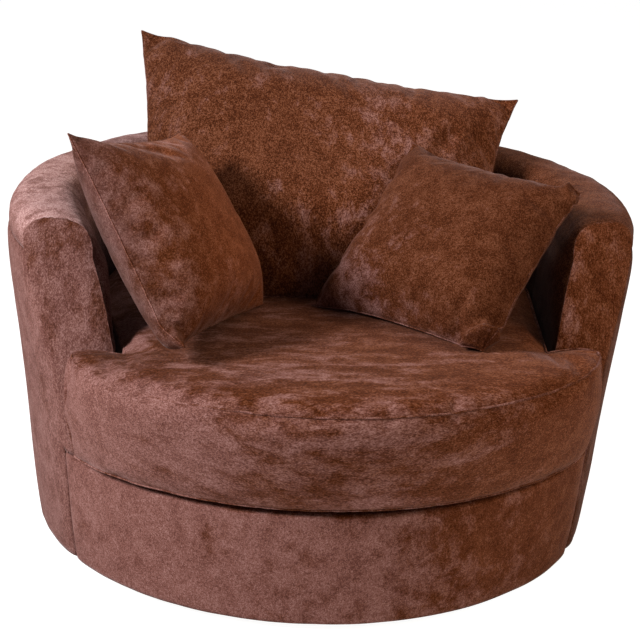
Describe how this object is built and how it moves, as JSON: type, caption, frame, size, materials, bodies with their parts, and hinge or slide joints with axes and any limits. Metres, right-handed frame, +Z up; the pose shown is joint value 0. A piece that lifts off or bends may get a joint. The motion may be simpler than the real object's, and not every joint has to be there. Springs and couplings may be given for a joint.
{
  "type": "cuddle chair",
  "caption": "Round swivel cuddle chair: upholstered tub on a hidden turntable with a loose T-shaped seat cushion, a large back cushion and scatter cushions.",
  "frame": {"origin": "on the floor, on the swivel axis, at the centre of the chair's width and depth", "axes": "+Z up, -Y towards the front edge of the seat, +X to the right as seen from the front"},
  "size_m": [1.22, 1.272, 0.9025],
  "materials": {
    "chenille": "crushed reddish-brown chenille with a short pile",
    "foam": "upholstery foam",
    "fibre": "fibre filling in a plain inner cover",
    "felt": "needled felt",
    "ply": "plain birch plywood",
    "hardboard": "bare hardboard",
    "steel": "bright zinc-plated steel",
    "nylon": "black nylon"
  },
  "bodies": {
    "floor_base": {"floor_board": "ply", "glide_1": "nylon", "glide_2": "nylon", "glide_3": "nylon", "glide_4": "nylon", "bearing_lower_race": "steel", "lower_race_screw_1": "steel", "lower_race_screw_2": "steel", "lower_race_screw_3": "steel"},
    "bearing_balls": {"caged_balls": "steel"},
    "seat_frame": {"bearing_upper_race": "steel", "upper_race_screw_1": "steel", "upper_race_screw_2": "steel", "upper_race_screw_3": "steel", "bottom_board": "ply", "deck_ring": "ply", "front_rail": "ply", "back_rail": "ply", "seat_spring_1": "steel", "seat_spring_2": "steel", "seat_spring_3": "steel", "seat_spring_4": "steel", "seat_spring_5": "steel", "deck_pad": "felt", "outer_panel": "hardboard", "inner_panel": "hardboard", "top_rail": "ply", "wall_rib_1": "ply", "wall_rib_2": "ply", "wall_rib_3": "ply", "wall_rib_4": "ply", "wall_rib_5": "ply", "arm_post_left": "ply", "arm_post_right": "ply", "wall_foam": "foam", "facing_pad_left": "foam", "facing_pad_right": "foam", "outer_cover": "chenille", "inner_cover": "chenille", "facing_cover_left": "chenille", "facing_cover_right": "chenille", "base_front_cover": "chenille"},
    "seat_cushion": {"seat_top_panel": "chenille", "seat_bottom_panel": "chenille", "seat_border": "chenille", "seat_core": "foam"},
    "back_cushion": {"back_pillow_front": "chenille", "back_pillow_back": "chenille", "back_pillow_core": "fibre", "back_pillow_zip": "nylon"},
    "scatter_left": {"left_scatter_front": "chenille", "left_scatter_back": "chenille", "left_scatter_core": "fibre", "left_scatter_zip": "nylon"},
    "scatter_right": {"right_scatter_front": "chenille", "right_scatter_back": "chenille", "right_scatter_core": "fibre", "right_scatter_zip": "nylon"}
  },
  "joints": [
    {"name": "swivel", "type": "hinge", "parent": "floor_base", "child": "seat_frame", "pos_m": [0, 0, 0.0365], "axis": [0, 0, 1], "continuous": true},
    {"name": "cage_spin", "type": "hinge", "parent": "floor_base", "child": "bearing_balls", "pos_m": [0, 0, 0.0365], "axis": [0, 0, 1], "continuous": true},
    {"name": "seat_cushion_lift", "type": "slide", "parent": "seat_frame", "child": "seat_cushion", "axis": [0, 0, 1], "range_m": [0, 0.35]},
    {"name": "back_cushion_lift", "type": "slide", "parent": "seat_cushion", "child": "back_cushion", "axis": [0, 0.848, 0.53], "range_m": [0, 0.3]},
    {"name": "scatter_left_lift", "type": "slide", "parent": "seat_cushion", "child": "scatter_left", "axis": [0, 0, 1], "range_m": [0, 0.25]},
    {"name": "scatter_right_lift", "type": "slide", "parent": "seat_cushion", "child": "scatter_right", "axis": [0, 0, 1], "range_m": [0, 0.25]}
  ],
  "couplings": [
    {"joint": "cage_spin", "follows": "swivel", "ratio": 0.5}
  ]
}
